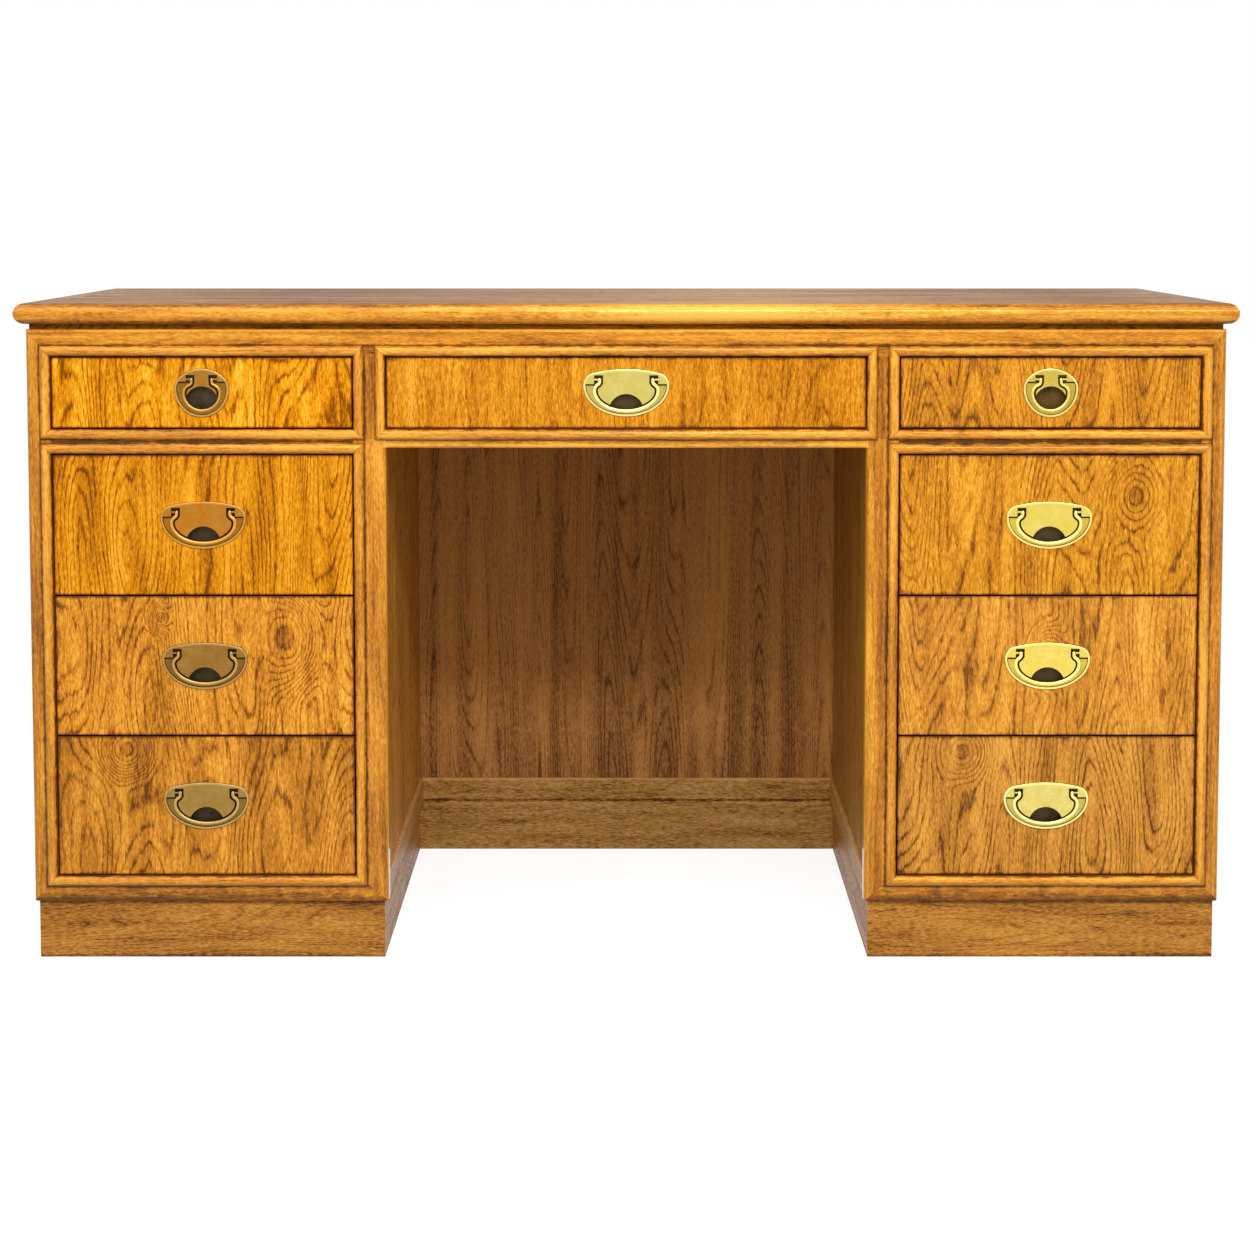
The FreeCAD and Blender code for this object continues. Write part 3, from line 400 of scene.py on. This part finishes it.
# the kneehole's back panel, darker towards the bottom
finishes["modesty_panel"] = oak("brown_oak_modesty", MODESTY_TONES, "z", figure=(75, 1300, 60), straight=70,
                                waver=0.35, line=0.45, fleck=1.5, band=1.5, marks=[("Z", 97.5, 0, 170, 0.25)])
case = oak("brown_oak_case", CASE_TONES, "z", figure=PANEL_FIGURE)
for node in ("left_outer_side", "left_inner_side", "right_outer_side", "pedestal_backs"):
    finishes[node] = case
# the right side of the kneehole in darker tones, as painted shade
finishes["right_inner_side"] = oak("brown_oak_right_knee_painted_shade", SHADED_TONES, "z", shift=(0, 0.3, 0.5),
                                   figure=PANEL_FIGURE)
plinth = oak("brown_oak_plinth", PLINTH_TONES, "x", "y", figure=PLINTH_FIGURE, line=0.3, band=1.1,
             specks=((26, 0.7),), marks=plinth_marks)
finishes["left_plinth"] = finishes["right_plinth"] = plinth
knee_plinth = oak("brown_oak_knee_plinth", KNEE_TONES, "x", "y", figure=PLINTH_FIGURE, line=0.25, band=1.0,
                  marks=knee_marks)
finishes["modesty_plinth"] = finishes["base_rails"] = knee_plinth

# Plain unstained wood inside: pale, with a faint grain.
box_wood = oak("plain_drawer_wood", BOX_TONES, "y", figure=(60, 500, 16), line=0.2, pore=0.2, fleck=0.3)
for node in ["pedestal_floors", "dust_panels", "drawer_runners"] + [drawer + "_box" for drawer in drawers]:
    finishes[node] = box_wood

# Cast brass, polished and lacquered. The right and centre pulls are bright yellow, the left ones brown with age.
# High spots are bright and flanks dull, partly from handling and partly painted highlight and shade that give the
# metal its form, and black patina fills the slots and the finger pocket.
# The crest of a bail and the floor of the slot round it lie at these Y, in mm.
CREST_Y = -288.7
FLOOR_Y = -285.6
# from crest to floor: where crest, field, flank, patina (from and to) and the pocket's worn floor stand
BRASS_PLACES = (0.04, 0.26, 0.5, 0.74, 0.93, 1.0)
# clouds and grit, their size in mm and how far they shift those places
CLOUD_SIZE = 16
CLOUDING = 0.24
GRIT_SIZE = 2.5
GRITTINESS = 0.12
# patina is this much rougher than the crest, growing between these places
PATINA_ROUGHER = 0.35
ROUGHER_PLACES = (0.2, 0.8)


def brass(name, crest, field, flank, patina, worn, roughness):
    """Brass in these colours, from the crest down, with the roughness of the crest."""
    material, tree, shader = new_material(name)
    place = add(tree, "TexCoord", out="Object")
    cloud = add(tree, "TexNoise", {"Vector": place, "Scale": 1 / (CLOUD_SIZE * MM), "Detail": 4.0,
                                   "Roughness": 0.6})
    grit = add(tree, "TexNoise", {"Vector": place, "Scale": 1 / (GRIT_SIZE * MM), "Detail": 3.0,
                                  "Roughness": 0.6})
    depth = add(tree, "SeparateXYZ", {0: place}, out="Y")
    sunk = add(tree, "MapRange", {"Value": depth, "From Min": CREST_Y * MM, "From Max": FLOOR_Y * MM})
    sunk = add(tree, "Math", {0: cloud, 1: CLOUDING, 2: sunk}, operation="MULTIPLY_ADD")
    sunk = add(tree, "Math", {0: grit, 1: GRITTINESS, 2: sunk}, operation="MULTIPLY_ADD")
    # both noises are about 0.5, so half of their shift is taken off again
    sunk = add(tree, "Math", {0: sunk, 1: 0.5 * (CLOUDING + GRITTINESS)}, operation="SUBTRACT")
    colours = (crest, field, flank, patina, patina, worn)
    colour = add(tree, "ValToRGB", {"Fac": sunk}, stops=list(zip(BRASS_PLACES, colours)))
    rough = add(tree, "MapRange", {"Value": sunk, "From Min": ROUGHER_PLACES[0], "From Max": ROUGHER_PLACES[1],
                                   "To Min": roughness, "To Max": roughness + PATINA_ROUGHER})
    fill(tree, shader, {"Base Color": colour, "Roughness": rough, "Metallic": 1.0})
    return material


BRASS_TONES = {
    "bright": ("#FCE98C", "#E4C954", "#A4842A", "#2E2216", "#54442C", 0.24),
    "centre": ("#F4E898", "#D4C05E", "#98803A", "#2E2216", "#54442C", 0.24),
    "right_lower": ("#F4E898", "#D2BE60", "#98803A", "#2E2216", "#54442C", 0.24),
    "right_top": ("#F4E084", "#D0B44A", "#907424", "#2E2216", "#5E4624", 0.24),
    "left_top": ("#C89C54", "#A07024", "#68451A", "#2A2018", "#4C4030", 0.3),
    "left_upper": ("#CE984A", "#B4701A", "#724816", "#2A2018", "#4C4030", 0.3),
    "left_middle": ("#B48E54", "#906628", "#5C401A", "#2A2018", "#4C4030", 0.3),
    "left_lower": ("#B8985E", "#947234", "#604620", "#2A2018", "#4C4030", 0.3),
}
metals = {age: brass(age + "_brass", *tones) for age, tones in BRASS_TONES.items()}
for drawer in drawers:
    metal = metals.get(drawer, metals["bright"])
    finishes[drawer + "_pull_plate"] = metal
    finishes[drawer + "_bail"] = metal

for node, finish in finishes.items():
    nodes[node].data.materials.clear()
    nodes[node].data.materials.append(finish)


def seen(tree):
    """1 where the camera looks, also by a mirror or through glass, and 0 for the light that falls on things."""
    rays = add(tree, "LightPath").node.outputs
    either = add(tree, "Math", {0: rays["Is Camera Ray"], 1: rays["Is Glossy Ray"]}, operation="MAXIMUM")
    return add(tree, "Math", {0: either, 1: rays["Is Transmission Ray"]}, operation="MAXIMUM")


# Stage: a floor of matt white paint that keeps the desk's soft shadow, and a white surround.
FLOOR_SIZE = 40
FLOOR_GREY = "#A2A2A2"
FLOOR_GLOW = 0.84
SURROUND_LIGHT = 0.45
SURROUND_SEEN = 1.0
WHITE = (1, 1, 1, 1)
bpy.ops.object.select_all(action="DESELECT")
bpy.ops.mesh.primitive_plane_add(size=FLOOR_SIZE, location=(0, 0, 0))
floor = bpy.context.object
floor.name = "floor"
paint, tree, coat = new_material("white_floor_paint")
glow = add(tree, "Math", {0: seen(tree), 1: FLOOR_GLOW}, operation="MULTIPLY")
fill(tree, coat, {"Base Color": linear(FLOOR_GREY), "Roughness": 0.9, "Specular IOR Level": 0.0,
                  "Emission Color": WHITE, "Emission Strength": glow})
floor.data.materials.append(paint)

world = bpy.data.worlds.new("white_surround")
bpy.context.scene.world = world
world.use_nodes = True
sky = world.node_tree
strength = add(sky, "MapRange", {"Value": seen(sky), "To Min": SURROUND_LIGHT, "To Max": SURROUND_SEEN})
fill(sky, sky.nodes["Background"], {"Color": WHITE, "Strength": strength})

# Lamps: place and aim in metres, width, height and watts. A large soft one above and in front, a weaker one at
# the right, a tall strip at each side, and a long one like a window for the bright lines on beads and edges.
lamps = (
    ("front_lamp", (-0.5, -1.8, 2.2), (0, -0.25, 0.45), 1.8, 1.8, 29),
    ("right_lamp", (2.4, -1.6, 1.8), (0.2, 0, 0.4), 1.2, 1.2, 6),
    ("left_strip", (-1.9, -2.6, 0.9), (-0.2, -0.3, 0.4), 0.25, 1.6, 7),
    ("right_strip", (1.9, -2.6, 0.9), (0.2, -0.3, 0.4), 0.25, 1.6, 6),
    ("window_lamp", (0.6, -2.3, 2.0), (0.3, -0.3, 0.6), 1.5, 0.25, 26),
)
for name, spot, aim, wide, tall, power in lamps:
    bpy.ops.object.light_add(type="AREA", location=spot)
    lamp = bpy.context.object
    lamp.name = name
    lamp.data.energy = power
    lamp.data.shape = "RECTANGLE"
    lamp.data.size = wide
    lamp.data.size_y = tall
    from_aim = [s - a for s, a in zip(spot, aim)]
    level = math.hypot(from_aim[0], from_aim[1])
    lamp.rotation_euler = (math.atan2(level, from_aim[2]), 0, math.atan2(from_aim[0], -from_aim[1]))

# Camera: 3.2 m in front of the drawers, a little above the top and looking a little down, its lens shifted down
# so that uprights stay nearly parallel.
CAMERA_PLACE = (0.0009, -3.509, 0.872)
CAMERA_DOWN = 4.715
bpy.ops.object.camera_add(location=CAMERA_PLACE, rotation=(math.radians(90 - CAMERA_DOWN), 0, 0))
camera = bpy.context.object
camera.data.sensor_width = 36
camera.data.lens = 80.93
camera.data.shift_y = -0.15
bpy.context.scene.camera = camera
bpy.context.scene.view_settings.view_transform = "Standard"
